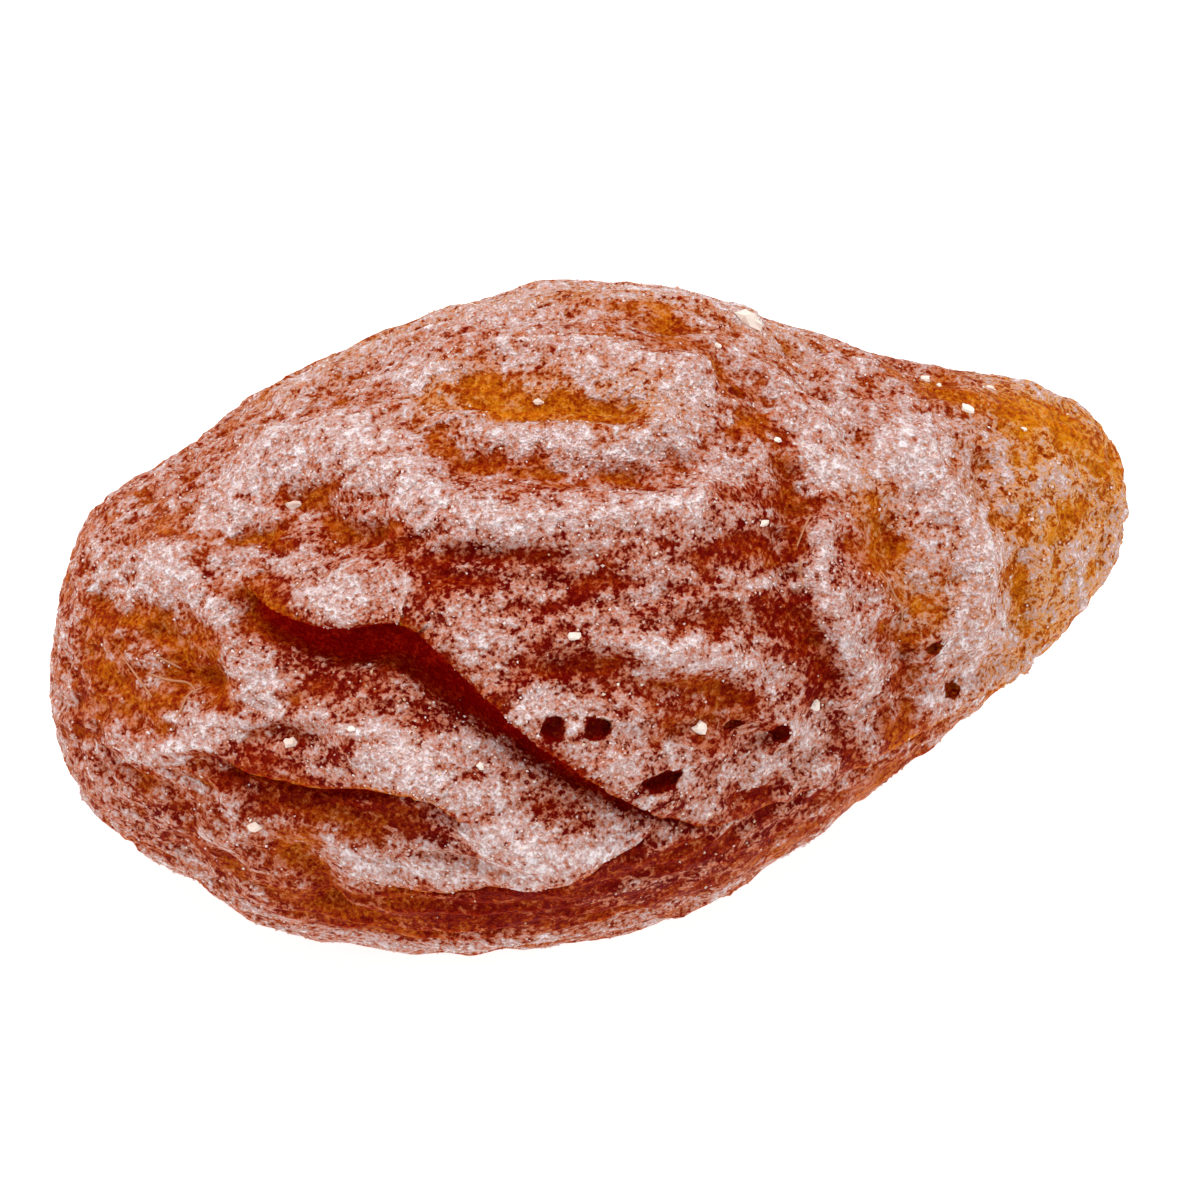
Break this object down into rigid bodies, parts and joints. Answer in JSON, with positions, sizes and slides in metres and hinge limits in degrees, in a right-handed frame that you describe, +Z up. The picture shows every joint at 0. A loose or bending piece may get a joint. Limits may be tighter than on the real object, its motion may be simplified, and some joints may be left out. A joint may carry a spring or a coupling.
{
  "type": "hard candy",
  "caption": "Lump of amber boiled sugar, pulled and folded over itself, with a blunt end, a drawn-out tail and a dusting of fine sugar.",
  "frame": {"origin": "middle of the base of the lump's box, on the small flat that it rests on", "axes": "+X along the lump from its blunt end to its tail, +Z up, the face with the fold tipped up towards -Y"},
  "size_m": [0.03, 0.0184, 0.0167],
  "materials": {
    "boiled_sugar": "translucent amber boiled sugar, glossy where bare and dull under a thin coat of powdered sugar"
  },
  "bodies": {
    "root": {"candy": "boiled_sugar"}
  },
  "joints": []
}
